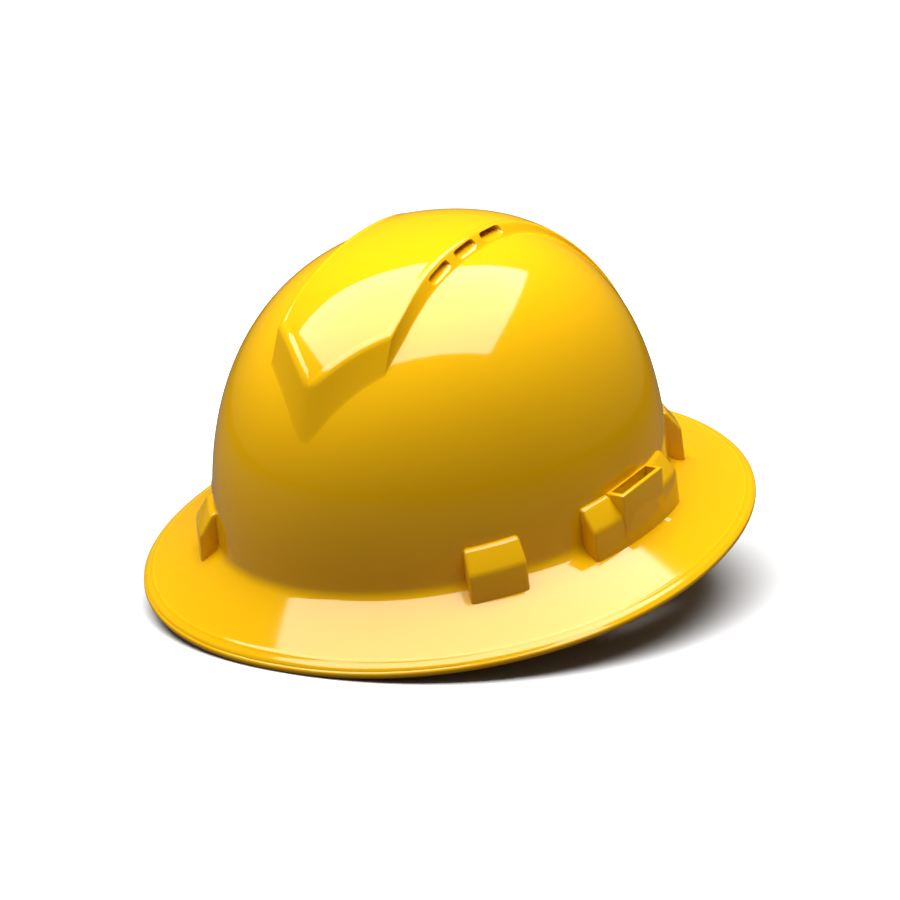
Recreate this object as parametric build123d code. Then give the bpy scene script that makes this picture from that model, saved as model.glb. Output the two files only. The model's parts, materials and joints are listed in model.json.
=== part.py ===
from build123d import *
from math import acos, atan, atan2, cos, degrees, hypot, pi, radians, sin, tan
import os

os.makedirs("parts", exist_ok=True)

# A full brim hard hat: shell, suspension and nape ratchet.
# It is drawn as it is worn: -Y is the wearer's front, +X the wearer's left, and the brim's rim is level.
# At the end it is tipped forward and set down on its front rim and its ratchet, as it stands when put down.

# Shell sizes
brim_length = 320.0
brim_width = 278.0
brim_centre_back = 8.5
brim_drop = 14.6
brim_exponent = 2.087
rim_thickness = 3.0
rim_overrun = 0.8
rim_land = 2.5
shell_wall = 2.5
foot_radius = 6.0
foot_slope_share = 0.40
dome_width = 202.6
dome_front_reach = 131.0
dome_rear_reach = 115.0
dome_widest_back = 8.0
dome_height = 126.0
dome_side_exponent = 2.48
dome_rise_exponent = 2.31
dome_lean = 1.97
overrun = 12.0

# Raised crown panel sizes
panel_rise = 4.5
panel_forward = 2.5
panel_wall_inset = 3.2
panel_low_height = 66.0
panel_high_height = 132.0
vent_length = 17.0
vent_height = 3.6
vent_pitch = 23.5
vent_middle_forward = 13.0
vent_inner_x = 14.0
vent_outer_x = 42.0
vent_line_x = 30.5
vent_lift = 2.4

# Lug, key pocket and accessory slot sizes
lug_angle = 52.6
lug_width = 26.0
lug_top = 21.5
lug_foot = 9.0
lug_reach = 9.2
side_lug_length = 76.0
side_lug_middle_forward = 5.0
slot_box_length = 35.5
slot_box_reach = 7.8
slot_box_top = 22.3
slot_box_root = 1.5
slot_middle_forward = 7.0
slot_length = 31.0
slot_gap = 6.0
pocket_start = 0.3
pocket_depth = 4.9
pocket_width = 20.6
pocket_top = 14.0

# Headband, keys and brow pad sizes
band_shell_gap = 16.8
band_straight = 32.0
band_thickness = 1.2
band_low = -18.0
band_high = 12.0
band_rear_low = -1.0
band_split_back = 22.0
band_end_angle = 48.0
key_clearance = 0.3
key_plate = 2.5
key_head_width = 20.0
key_arm_width = 26.0
key_arm_low = -9.6
key_top = 19.0
key_bar = 3.0
key_window_height = 4.5
key_window_width = 21.5
key_barb = 0.8
key_barb_height = 3.0
peg_radius = 2.0
peg_spacing = 11.0
peg_height = 5.5
fit_gap = 0.15
seat_gap = 0.2
brow_pad_thickness = 4.0
brow_pad_half_angle = 68.0
brow_pad_low = -19.0
brow_pad_high = 13.0
pad_gap = 0.3
pad_round = 1.4

# Crown strap sizes
strap_width = 20.0
strap_thickness = 1.2
strap_loop_width = 13.2
strap_loop_height = 14.0
strap_loop_round = 4.0
strap_crown_height = 90.0
strap_stack_gap = 0.7

# Nape strap sizes
nape_strap_thickness = 1.2
nape_strap_gap = 0.5
nape_layer_gap = 0.4
nape_arm_middle = -10.5
nape_arm_height = 13.0
nape_arm_tip_angle = 97.0
nape_arm_level_angle = 86.0
nape_tail_level_angle = 40.0
nape_tail_height = 20.0
nape_drop = 50.2
nape_travel = 20.0
rack_web = 4.0
stud_radius = 2.0
stud_head_radius = 4.0
stud_head = 1.4
stud_play = 4.0
stud_slot_length = 8.0
stud_slot_height = 4.6

# Ratchet sizes
pinion_pitch_radius = 5.0
pinion_teeth = 8
pinion_addendum = 0.9
pinion_dedendum = 1.4
rack_addendum = 0.9
rack_dedendum = 1.3
tooth_pitch_share = 0.40
tooth_tip_share = 0.20
tooth_root_share = 0.60
window_clearance = 0.7
ratchet_half_angle = 22.0
ratchet_half_height = 14.0
ratchet_wall = 2.0
ratchet_channel_gap = 0.4
bearing_clearance = 0.05
pinion_inner_radius = 3.0
pinion_outer_radius = 3.5
pinion_drive_width = 4.6
pinion_drive_length = 5.0
pinion_bore_radius = 1.2
cover_boss_radius = 5.0
cover_boss_height = 1.8
knob_radius = 14.0
knob_height = 10.0
knob_gap = 0.4
knob_recess_radius = 11.4
knob_recess_depth = 2.6
knob_notches = 24
knob_notch_depth = 0.7
knob_scallops = 12
knob_scallop_radius = 3.0
knob_scallop_depth = 1.1
knob_edge_round = 1.2
spring_height = 1.0
spring_ring = 1.3
spring_arm_width = 1.2
spring_bump_radius = 0.9
screw_head_radius = 2.5
screw_head_height = 1.2
screw_radius = 1.1
screw_length = 8.0
screw_slot_width = 0.7
nape_pad_thickness = 4.4
nape_pad_half_angle = 26.0
nape_pad_low = 12.0
nape_pad_high = 16.0

# Sizes worked out from those above
rim_half_length = brim_length / 2
rim_half_width = brim_width / 2
dome_half_width = dome_width / 2
band_radius = dome_half_width - shell_wall - band_shell_gap
rim_top = -brim_drop
rim_bottom = rim_top - rim_thickness
foot_centre_height = foot_radius * (1 - foot_slope_share / 2)
nape_centre_back = band_straight / 2
nape_height = -nape_drop
left_outer = band_radius - nape_strap_gap
left_inner = left_outer - nape_strap_thickness
right_outer = left_inner - nape_layer_gap
right_inner = right_outer - nape_strap_thickness
base_outer = right_inner - ratchet_channel_gap
base_inner = base_outer - ratchet_wall
cover_inner = left_outer + ratchet_channel_gap
cover_outer = cover_inner + ratchet_wall
tooth_pitch = 2 * pi * pinion_pitch_radius / pinion_teeth


# Points and closed curves round the hat

ring_count = 36


def turns():
    return [2 * pi * (step + 0.5) / ring_count for step in range(ring_count)]


def ring(points):
    shares = [step / ring_count for step in range(ring_count + 1)]
    return Wire([Edge.make_spline([Vector(*point) for point in points], periodic=True, parameters=shares)])


def foot_point(turn, out):
    """A point of the dome's egg-shaped foot, moved outward."""
    reach = dome_front_reach if sin(turn) < 0 else dome_rear_reach
    return (dome_half_width + out) * cos(turn), dome_widest_back + (reach + out) * sin(turn)


def rim_point(turn, inset):
    """A point of the brim's rim, moved inward."""
    power = 2 / brim_exponent
    across = abs(cos(turn)) ** power * (1 if cos(turn) > 0 else -1)
    along = abs(sin(turn)) ** power * (1 if sin(turn) > 0 else -1)
    return (rim_half_width - inset) * across, brim_centre_back + (rim_half_length - inset) * along


def leaned(x, y, z):
    """The dome leans back a little over the level rim."""
    turn = radians(dome_lean)
    return x, y * cos(turn) + z * sin(turn), z * cos(turn) - y * sin(turn)


def lean(solid):
    return Rot(-dome_lean, 0, 0) * solid


# The shell's skin: rings from the rim up the brim's slope, round the bend at the foot and up the dome

slope_shares = (1, 0.78, 0.56, 0.37, 0.21, 0.09)
bend_shares = (1, 0.75, 0.5, 0.25, 0)
dome_shares = (0.063, 0.095, 0.135, 0.186, 0.253, 0.339, 0.439, 0.536, 0.629, 0.715, 0.793, 0.859,
               0.913, 0.953, 0.980, 0.9945, 0.9996)
panel_dome_start = 5


def brim_ring(bend_share, slope_share, depth, edge_inset, edge_height, fall=0):
    """One closed curve of the brim's top face, or of its underside when depth is the wall.

    With a fall the slope runs on past the rim until it is that far below it.
    """
    points = []
    for turn in turns():
        foot_x, foot_y, middle = leaned(*foot_point(turn, 0), foot_centre_height)
        rim_x, rim_y = rim_point(turn, edge_inset)
        run = hypot(rim_x - foot_x, rim_y - foot_y)
        radius = foot_radius + depth
        span = hypot(run - foot_radius, middle - edge_height)
        touch = 2 * pi - atan2(middle - edge_height, run - foot_radius) - acos(radius / span)
        bend = pi + bend_share * (touch - pi)
        out = foot_radius + radius * cos(bend)
        height = middle + radius * sin(bend)
        past = slope_share + fall / (height - edge_height)
        out = out + past * (run - out)
        height = height + past * (edge_height - height)
        along = out / run
        points.append((foot_x + along * (rim_x - foot_x), foot_y + along * (rim_y - foot_y), height))
    return ring(points)


def dome_ring(share, depth, forward, rise):
    """One closed curve of the dome at a share of its height."""
    spread = (1 - share ** dome_rise_exponent) ** (1 / dome_side_exponent)
    points = []
    for turn in turns():
        x, y = foot_point(turn, -depth)
        middle_y = dome_widest_back + spread * (y - dome_widest_back) - forward
        points.append(leaned(spread * x, middle_y, share * (dome_height - depth) + rise))
    return ring(points)


def skin(depth, edge_inset, edge_height):
    """The solid under the shell's outer face, or under its inner face when depth is the wall."""
    rings = [brim_ring(1, 1, depth, edge_inset, edge_height, rim_thickness + rim_overrun)]
    rings += [brim_ring(1, share, depth, edge_inset, edge_height) for share in slope_shares]
    rings += [brim_ring(share, 0, depth, edge_inset, edge_height) for share in bend_shares]
    rings += [dome_ring(share, depth, 0, 0) for share in dome_shares]
    return Solid.make_loft(rings)


def inside_rim():
    rim = ring([(*rim_point(turn, 0), rim_bottom) for turn in turns()])
    return extrude(make_face(rim), 2 * dome_height)


# The raised crown panel: a dome moved up and forward, cut to an outline with slanted walls

# Each row is across and along, as shares of the dome's half width and front reach, at the low height
# and then at the high height.
panel_corner_shares = ((0.271, -0.792), (0.294, -0.473))
panel_tip_shares = ((0, -0.849), (0, -0.663))
panel_side_shares = (
    ((0.439, -0.679), (0.237, -0.377)),
    ((0.566, -0.502), (0.227, -0.301)),
    ((0.721, -0.262), (0.234, -0.176)),
    ((0.745, 0), (0.251, 0)),
    ((0.683, 0.229), (0.260, 0.229)),
    ((0.691, 0.366), (0.247, 0.366)),
    ((0.671, 0.573), (0.247, 0.573)),
)
flare_shares = ((0.30, 0.31), (0.375, 0.44), (0.50, 0.505), (0.62, 0.535), (0.72, 0.60), (0.80, 0.75))


def panel_place(shares, inset):
    x = shares[0] * dome_half_width
    y = shares[1] * dome_front_reach
    reach = hypot(x, y)
    return x * (1 - inset / reach), y * (1 - inset / reach)


def panel_outline(level, inset, height):
    tip = panel_place(panel_tip_shares[level], inset)
    corner = panel_place(panel_corner_shares[level], inset)
    side = [corner] + [panel_place(row[level], inset) for row in panel_side_shares]
    left = [(x, y, height) for x, y in side]
    right = [(-x, y, height) for x, y in side]
    start = (tip[0], tip[1], height)
    edges = [Line(start, left[0]), Spline(*left), Line(left[-1], right[-1]), Spline(*reversed(right))]
    return Wire(edges + [Line(right[0], start)])


def panel_taper(inset):
    low = panel_outline(0, inset, panel_low_height)
    high = panel_outline(1, inset, panel_high_height)
    return Solid.make_loft([low, high], ruled=True)


def panel_flare():
    """The panel widens over the rear of the dome and fades into it."""
    side = [panel_place(row, 0) for row in flare_shares]
    rear = dome_rear_reach + overrun
    left = side + [(side[-1][0], rear)]
    curve = Spline(*side)
    mirrored = Spline(*[(-x, y) for x, y in reversed(side)])
    edges = [curve, Line(side[-1], left[-1]), Line(left[-1], (-left[-1][0], rear))]
    edges += [Line((-left[-1][0], rear), (-side[-1][0], side[-1][1])), mirrored]
    edges.append(Line((-side[0][0], side[0][1]), side[0]))
    return extrude(make_face(Wire(edges)), panel_high_height + panel_rise)


def panel_solid(depth, inset):
    shares = dome_shares[panel_dome_start:]
    raised = Solid.make_loft([dome_ring(share, depth, panel_forward, panel_rise) for share in shares])
    outline = panel_taper(inset)
    if inset == 0:
        outline = outline + panel_flare()
    return raised & lean(outline)


def dome_surface(x, y):
    reach = dome_front_reach if y < dome_widest_back else dome_rear_reach
    span = hypot(x / dome_half_width, (y - dome_widest_back) / reach)
    return dome_height * (1 - span ** dome_side_exponent) ** (1 / dome_rise_exponent)


def vent_cutter(number):
    y = -vent_middle_forward + (number - 1) * vent_pitch
    half = vent_length / 2
    rise = dome_surface(vent_line_x, y + half) - dome_surface(vent_line_x, y - half)
    pitch = degrees(atan2(rise, vent_length))
    depth = vent_outer_x - vent_inner_x
    cutter = Box(depth, vent_length, vent_height)
    cutter = fillet(cutter.edges().filter_by(Axis.X), vent_height * 0.45)
    middle = (vent_inner_x + vent_outer_x) / 2
    return Pos(middle, y, dome_surface(vent_line_x, y) + vent_lift) * Rot(pitch, 0, 0) * cutter


# The lugs round the dome's foot, with pockets for the keys and a slot for accessories

def normal_place(angle, rear):
    """The foot point whose outward normal turns by an angle from the front or the rear."""
    reach = dome_rear_reach if rear else dome_front_reach
    across = sin(radians(angle))
    along = cos(radians(angle))
    span = hypot(dome_half_width * across, reach * along)
    y = reach * reach * along / span
    x = dome_half_width * dome_half_width * across / span
    return (x, dome_widest_back + (y if rear else -y)), 90 - angle if rear else angle - 90


def at_lug(rear, solid):
    """Moves a solid drawn with +X outward to the left front or left rear lug."""
    (x, y), turn = normal_place(lug_angle, rear)
    return Pos(x, y, 0) * Rot(0, 0, turn) * solid


lug_profile_shares = ((1, -1), (0.83, 0.42), (0.74, 0.65), (0.50, 0.86), (-0.11, 1))


def lug_ring():
    rings = []
    for reach_share, height_share in lug_profile_shares:
        height = height_share * (lug_top if height_share > 0 else lug_foot)
        out = reach_share * lug_reach
        rings.append(ring([(*foot_point(turn, out), height) for turn in turns()]))
    return Solid.make_loft(rings, ruled=True)


def lug_block(length):
    depth = 2 * (lug_reach + overrun)
    return Box(depth, length, 4 * lug_top)


def slot_place():
    y = -slot_middle_forward
    turn = atan2((y - dome_widest_back) / dome_front_reach, 1)
    x, y = foot_point(turn, 0)
    normal = atan2((y - dome_widest_back) / dome_front_reach ** 2, x / dome_half_width ** 2)
    return Pos(x, y, 0) * Rot(0, 0, degrees(normal))


def slot_box():
    size = slot_box_reach + slot_box_root
    height = slot_box_top + lug_foot
    box = Box(size, slot_box_length, height, align=(Align.MIN, Align.CENTER, Align.MIN))
    return slot_place() * Pos(-slot_box_root, 0, -lug_foot) * box


def slot_cutter():
    height = slot_box_top + 2 * overrun + lug_foot
    box = Box(slot_gap, slot_length, height, align=(Align.MIN, Align.CENTER, Align.MIN))
    return slot_place() * Pos(0, 0, -lug_foot - overrun) * box


def pocket_cutter():
    height = pocket_top + lug_foot + overrun
    box = Box(pocket_depth, pocket_width, height, align=(Align.MIN, Align.CENTER, Align.MAX))
    return Pos(pocket_start, 0, pocket_top) * box


def both_sides(solid):
    return [solid, mirror(solid, about=Plane.YZ)]


def hat_shell():
    band = lug_ring()
    lugs = []
    for rear in (False, True):
        lugs.append(band & at_lug(rear, lug_block(lug_width)))
    side_block = Box(2 * overrun + lug_reach, side_lug_length, 4 * lug_top)
    lugs.append(band & (Pos(dome_half_width, -side_lug_middle_forward, 0) * side_block))
    lugs.append(slot_box())
    body = skin(0, 0, rim_top) & inside_rim()
    body += panel_solid(0, 0)
    for lug in lugs:
        for piece in both_sides(lug):
            body += piece
    body -= skin(shell_wall, rim_land, rim_bottom)
    body -= panel_solid(shell_wall, panel_wall_inset)
    for cutter in [at_lug(False, pocket_cutter()), at_lug(True, pocket_cutter()), slot_cutter()]:
        for piece in both_sides(cutter):
            body -= piece
    for number in range(3):
        for piece in both_sides(vent_cutter(number)):
            body -= lean(piece)
    return body


# Ring sectors about an upright axis, angles counted from +Y toward +X

def sector(inner, outer, start, end, low, high, centre_y):
    def place(radius, angle):
        return radius * sin(radians(angle)), centre_y + radius * cos(radians(angle))

    middle = (start + end) / 2
    edges = [
        ThreePointArc(place(outer, start), place(outer, middle), place(outer, end)),
        Line(place(outer, end), place(inner, end)),
        ThreePointArc(place(inner, end), place(inner, middle), place(inner, start)),
        Line(place(inner, start), place(outer, start)),
    ]
    return Pos(0, 0, low) * extrude(make_face(Wire(edges)), high - low)


# The suspension's plastic pieces

def band_run(radius):
    """The headband's path in plan: rear left, side, front, side, rear right."""
    half = band_straight / 2
    end = radians(band_end_angle)
    bend = radians((band_end_angle + 90) / 2)
    rear_end = (radius * sin(end), half + radius * cos(end))
    rear_bend = (radius * sin(bend), half + radius * cos(bend))
    return [
        ThreePointArc(rear_end, rear_bend, (radius, half)),
        Line((radius, half), (radius, -half)),
        ThreePointArc((radius, -half), (0, -half - radius), (-radius, -half)),
        Line((-radius, -half), (-radius, half)),
        ThreePointArc((-radius, half), (-rear_bend[0], rear_bend[1]), (-rear_end[0], rear_end[1])),
    ]


def headband():
    outer = band_run(band_radius + band_thickness)
    inner = band_run(band_radius)
    ends = [Line(outer[0] @ 0, inner[0] @ 0), Line(outer[-1] @ 1, inner[-1] @ 1)]
    band = Pos(0, 0, band_low) * extrude(make_face(Wire(outer + inner + ends)), band_high - band_low)
    rear_length = dome_rear_reach
    rear_cut = Box(dome_width, rear_length, band_rear_low - band_low, align=(Align.CENTER, Align.MIN, Align.MIN))
    band -= Pos(0, band_split_back, band_low) * rear_cut
    slot = Box(dome_width, stud_slot_length, stud_slot_height)
    band -= Pos(0, nape_centre_back, nape_arm_middle) * slot
    for rear in (False, True):
        for piece in both_sides(at_lug(rear, key_pegs(rear, peg_radius + fit_gap, overrun))):
            band -= piece
    return band


def band_from_lug(rear):
    """The centre of the headband's bend as the lug sees it: outward and sideways."""
    (x, y), turn = normal_place(lug_angle, rear)
    turn = radians(turn)
    centre_y = band_straight / 2 if rear else -band_straight / 2
    return -x * cos(turn) + (centre_y - y) * sin(turn), x * sin(turn) + (centre_y - y) * cos(turn)


def tongue_start(rear):
    """Where the key's tongue lies against the headband, outward of the dome's foot."""
    return band_from_lug(rear)[0] + band_radius + band_thickness + seat_gap


def key_pegs(rear, radius, extra):
    out, side = band_from_lug(rear)
    pegs = []
    for across in (-peg_spacing / 2, peg_spacing / 2):
        nearest = max(abs(across - side) - peg_radius, 0)
        start = out + (band_radius ** 2 - nearest ** 2) ** 0.5 - extra
        length = tongue_start(rear) + extra - start
        peg = Cylinder(radius, length, rotation=(0, 90, 0))
        pegs.append(Pos(start + length / 2, across, peg_height) * peg)
    return pegs[0] + pegs[1]


def suspension_key(rear):
    head_in = pocket_start + key_clearance
    head_out = head_in + key_plate
    tongue_in = tongue_start(rear)
    tongue_out = tongue_in + key_plate
    head_top = pocket_top - key_clearance
    head_height = head_top - key_arm_low
    low = (Align.MIN, Align.CENTER, Align.MIN)
    key = Pos(head_in, 0, key_arm_low) * Box(key_plate, key_head_width, head_height, align=low)
    barb = Box(key_barb, key_head_width, key_barb_height, align=low)
    key += Pos(head_out, 0, head_top - key_barb_height) * barb
    key += Pos(tongue_in, 0, key_arm_low) * Box(head_out - tongue_in, key_head_width, key_plate, align=low)
    tongue = Box(key_plate, key_arm_width, key_top - key_arm_low, align=low)
    tongue = fillet(tongue.edges().filter_by(Axis.X), strap_loop_round / 2)
    key += Pos(tongue_in, 0, key_arm_low) * tongue
    hung = (Align.CENTER, Align.CENTER, Align.MAX)
    window = Box(4 * key_plate, key_window_width, key_window_height, align=hung)
    key -= Pos((tongue_in + tongue_out) / 2, 0, key_top - key_bar) * window
    key += key_pegs(rear, peg_radius, 0)
    return at_lug(rear, key)


def brow_pad():
    outer = band_radius - pad_gap
    inner = outer - brow_pad_thickness
    start = 180 - brow_pad_half_angle
    end = 180 + brow_pad_half_angle
    pad = sector(inner, outer, start, end, brow_pad_low, brow_pad_high, -band_straight / 2)
    return fillet(pad.edges(), pad_round)


# The crown straps, each looped on the bars of two keys

def bar_place(rear):
    (x, y), turn = normal_place(lug_angle, rear)
    out = tongue_start(rear) + key_plate / 2
    return x + out * cos(radians(turn)), y + out * sin(radians(turn))


def crown_strap(stack, hand):
    front_x, front_y = bar_place(False)
    rear_x, rear_y = bar_place(True)
    span = hypot(front_x + rear_x, rear_y - front_y) / 2
    turn = degrees(atan2(front_y - rear_y, front_x + rear_x))
    loop_low = key_top - key_bar - strap_thickness - seat_gap
    loop_middle = loop_low + strap_loop_height / 2
    arch_low = loop_low + strap_loop_height - strap_thickness
    arch_rise = strap_crown_height - arch_low - stack * (strap_thickness + strap_stack_gap)
    half = strap_thickness / 2
    arch = Ellipse(span + half, arch_rise) - Ellipse(span - half, arch_rise - strap_thickness)
    cover = Rectangle(2 * (span + overrun), arch_rise + overrun, align=(Align.CENTER, Align.MIN))
    profile = Pos(0, arch_low) * (arch & cover)
    loop_inner_round = strap_loop_round - strap_thickness
    loop = RectangleRounded(strap_loop_width, strap_loop_height, strap_loop_round)
    hole_width = strap_loop_width - 2 * strap_thickness
    hole_height = strap_loop_height - 2 * strap_thickness
    loop -= RectangleRounded(hole_width, hole_height, loop_inner_round)
    profile += Pos(span, loop_middle) * loop
    profile += Pos(-span, loop_middle) * loop
    upright = Plane.XZ * profile
    strap = extrude(upright, strap_width / 2, both=True)
    middle_x = (front_x - rear_x) / 2
    middle_y = (front_y + rear_y) / 2
    strap = Pos(middle_x, middle_y, 0) * Rot(0, 0, turn) * strap
    return strap if hand > 0 else mirror(strap, about=Plane.YZ)


# The nape straps: arms that drop to the nape and tails with a toothed window

def rack_gap(inner, outer):
    """One gap between rack teeth, drawn at the middle, teeth pointing down."""
    tip = pinion_pitch_radius - rack_addendum
    root = pinion_pitch_radius + rack_dedendum
    wide = tooth_pitch * (1 - tooth_tip_share)
    narrow = tooth_pitch * (1 - tooth_root_share)
    low = tip - rack_addendum
    slope = (wide - narrow) / (root - tip)
    base = wide + slope * rack_addendum
    points = [(-base / 2, low), (base / 2, low), (narrow / 2, root), (-narrow / 2, root)]
    face = make_face(Polyline(*points, close=True))
    upright = Plane.XZ * face
    depth = outer - inner + 2 * ratchet_channel_gap
    return Pos(0, outer + ratchet_channel_gap, 0) * extrude(upright, depth)


def nape_strap(inner, outer, hand, toothed):
    """The left strap is drawn; hand -1 mirrors it. toothed is 1 for teeth on the upper edge."""
    middle = (inner + outer) / 2
    tail_half = nape_tail_height / 2
    arm_half = nape_arm_height / 2
    window_half = degrees((nape_travel + pinion_pitch_radius + pinion_addendum + window_clearance) / middle)
    tail_angle = window_half + degrees(rack_web / middle)

    def side(angle):
        return nape_centre_back + outer * cos(radians(angle))

    tail = sector(inner, outer, -tail_angle, nape_tail_level_angle, nape_height - tail_half,
                  nape_height + tail_half, nape_centre_back)
    tip_y = side(nape_arm_tip_angle)
    level_y = side(nape_arm_level_angle)
    drop_y = side(nape_tail_level_angle)
    ease_y = (level_y + drop_y) / 2
    middle_height = (nape_height + nape_arm_middle) / 2
    mix_half = (tail_half + arm_half) / 2
    upper = Spline((level_y, nape_arm_middle + arm_half), (ease_y, middle_height + mix_half),
                   (drop_y, nape_height + tail_half), tangents=[(1, 0), (1, 0)])
    lower = Spline((drop_y, nape_height - tail_half), (ease_y, middle_height - mix_half),
                   (level_y, nape_arm_middle - arm_half), tangents=[(-1, 0), (-1, 0)])
    tip_low = (tip_y, nape_arm_middle - arm_half)
    tip_high = (tip_y, nape_arm_middle + arm_half)
    outline = [upper, Line(upper @ 1, lower @ 0), lower, Line(lower @ 1, tip_low), Line(tip_low, tip_high),
               Line(tip_high, upper @ 0)]
    flat = Plane.YZ * make_face(Wire(outline))
    arm_ring = sector(inner, outer, nape_tail_level_angle, nape_arm_tip_angle + nape_tail_level_angle / 2,
                      nape_height - nape_tail_height, nape_tail_height, nape_centre_back)
    arm = extrude(flat, 2 * band_radius) & arm_ring
    strap = tail + arm
    tip = pinion_pitch_radius - rack_addendum
    clear = pinion_pitch_radius + pinion_addendum + window_clearance
    top = tip if toothed > 0 else clear
    bottom = clear if toothed > 0 else tip
    window = sector(inner - overrun, outer + overrun, -window_half, window_half, nape_height - bottom,
                    nape_height + top, nape_centre_back)
    strap -= window
    gap = rack_gap(inner, outer)
    if toothed < 0:
        gap = mirror(gap, about=Plane.XY)
    count = int(nape_travel / tooth_pitch) + 1
    for number in range(-count, count + 1):
        turn = degrees(number * tooth_pitch / middle)
        strap -= Pos(0, nape_centre_back, nape_height) * Rot(0, 0, turn) * gap
    return strap if hand > 0 else mirror(strap, about=Plane.YZ)


def strap_stud(outer, hand):
    length = band_radius + band_thickness + stud_play - outer
    base = Pos(outer, nape_centre_back, nape_arm_middle)
    shank = Cylinder(stud_radius, length, rotation=(0, 90, 0), align=(Align.CENTER, Align.CENTER, Align.MIN))
    standing = (Align.CENTER, Align.CENTER, Align.MIN)
    head = Cylinder(stud_head_radius, stud_head, rotation=(0, 90, 0), align=standing)
    head = fillet(head.edges().sort_by(Axis.X)[-1], stud_head / 2)
    stud = base * shank + base * Pos(length, 0, 0) * head
    return stud if hand > 0 else mirror(stud, about=Plane.YZ)


# The ratchet at the nape. Its turning pieces are drawn along +Z, from the nape arc's axis outward.

def at_ratchet(solid):
    return Pos(0, nape_centre_back, nape_height) * Rot(-90, 0, 0) * solid


def disc(radius, start, end):
    return Pos(0, 0, start) * Cylinder(radius, end - start, align=(Align.CENTER, Align.CENTER, Align.MIN))


def nape_sector(inner, outer, half_angle, low, high):
    return sector(inner, outer, -half_angle, half_angle, nape_height + low, nape_height + high, nape_centre_back)


def ratchet_base():
    half = ratchet_half_height
    base = nape_sector(base_inner, base_outer, ratchet_half_angle, -half, half)
    base += nape_sector(base_inner, cover_inner, ratchet_half_angle, -half, ratchet_wall - half)
    base += nape_sector(base_inner, cover_inner, ratchet_half_angle, half - ratchet_wall, half)
    bore = disc(pinion_inner_radius + bearing_clearance, base_inner - overrun, base_outer + seat_gap)
    return base - at_ratchet(bore)


def ratchet_cover():
    half = ratchet_half_height
    cover = nape_sector(cover_inner, cover_outer, ratchet_half_angle, -half, half)
    cover += at_ratchet(disc(cover_boss_radius, cover_inner + ratchet_wall / 2, cover_outer + cover_boss_height))
    return cover - at_ratchet(disc(pinion_outer_radius + bearing_clearance, base_outer, cover_outer + overrun))


def pinion_profile():
    points = []
    root = pinion_pitch_radius - pinion_dedendum
    tip = pinion_pitch_radius + pinion_addendum
    root_half = tooth_pitch * tooth_root_share / 2
    tip_half = tooth_pitch * tooth_tip_share / 2
    for number in range(pinion_teeth):
        turn = 2 * pi * number / pinion_teeth - pi / 2
        for along, across in ((root, -root_half), (tip, -tip_half), (tip, tip_half), (root, root_half)):
            points.append((along * cos(turn) - across * sin(turn), along * sin(turn) + across * cos(turn)))
    return make_face(Polyline(*points, close=True))


def pinion():
    start = base_outer + ratchet_channel_gap / 2
    end = cover_inner - ratchet_channel_gap / 2
    gear = Pos(0, 0, start) * extrude(pinion_profile(), end - start)
    inner_end = base_outer - screw_head_height / 2
    drive_start = cover_outer + cover_boss_height
    gear += disc(pinion_inner_radius, inner_end, start)
    gear += disc(pinion_outer_radius, end, drive_start)
    standing = (Align.CENTER, Align.CENTER, Align.MIN)
    drive = Box(pinion_drive_width, pinion_drive_width, pinion_drive_length, align=standing)
    gear += Pos(0, 0, drive_start) * drive
    gear -= disc(pinion_bore_radius, inner_end - overrun, drive_start + pinion_drive_length + overrun)
    return at_ratchet(gear)


def adjuster_knob():
    start = cover_outer + knob_gap
    end = start + knob_height
    body = disc(knob_radius, start, end)
    body = fillet(body.edges().filter_by(GeomType.CIRCLE).sort_by(Axis.Z)[-1], knob_edge_round)
    scallop_place = knob_radius + knob_scallop_radius - knob_scallop_depth
    scallop = disc(knob_scallop_radius, start - overrun, end + overrun)
    for number in range(knob_scallops):
        body -= Rot(0, 0, 360 * number / knob_scallops) * Pos(scallop_place, 0, 0) * scallop
    recess = disc(knob_recess_radius, start - overrun, start + knob_recess_depth)
    notch_reach = knob_recess_radius + knob_notch_depth
    notch_half = pi * knob_recess_radius / knob_notches
    notch_root = knob_recess_radius - knob_notch_depth
    notch_points = [(notch_root, -notch_half), (notch_reach, 0), (notch_root, notch_half)]
    notch = extrude(make_face(Polyline(*notch_points, close=True)), knob_recess_depth)
    for number in range(knob_notches):
        recess += Rot(0, 0, 360 * number / knob_notches) * Pos(0, 0, start) * notch
    body -= recess
    drive_start = cover_outer + cover_boss_height
    socket_width = pinion_drive_width + 2 * bearing_clearance
    socket_depth = pinion_drive_length + bearing_clearance
    socket = Box(socket_width, socket_width, socket_depth, align=(Align.CENTER, Align.CENTER, Align.MIN))
    body -= Pos(0, 0, drive_start) * socket
    body -= disc(screw_radius, drive_start, screw_start() + screw_length)
    return at_ratchet(body)


def screw_start():
    return base_outer - screw_head_height / 2


def knob_screw():
    start = screw_start()
    head = disc(screw_head_radius, start - screw_head_height, start)
    hung = (Align.CENTER, Align.CENTER, Align.MAX)
    slot = Box(4 * screw_head_radius, screw_slot_width, screw_head_height, align=hung)
    head -= Pos(0, 0, start - screw_head_height / 2) * slot
    return at_ratchet(head + disc(screw_radius, start, start + screw_length))


def detent_spring():
    start = cover_outer + knob_gap + seat_gap
    inner = cover_boss_radius + bearing_clearance
    outer = inner + spring_ring
    spring = disc(outer, start, start + spring_height)
    bump_place = knob_recess_radius - knob_notch_depth - spring_bump_radius - seat_gap
    for turn in (0, 180):
        arm = Pos(0, 0, start) * Box(bump_place, spring_arm_width, spring_height,
                                     align=(Align.MIN, Align.CENTER, Align.MIN))
        bump = Pos(bump_place, 0, 0) * disc(spring_bump_radius, start, start + spring_height)
        spring += Rot(0, 0, turn) * (arm + bump)
    return at_ratchet(spring - disc(inner, start - overrun, start + overrun))


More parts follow.
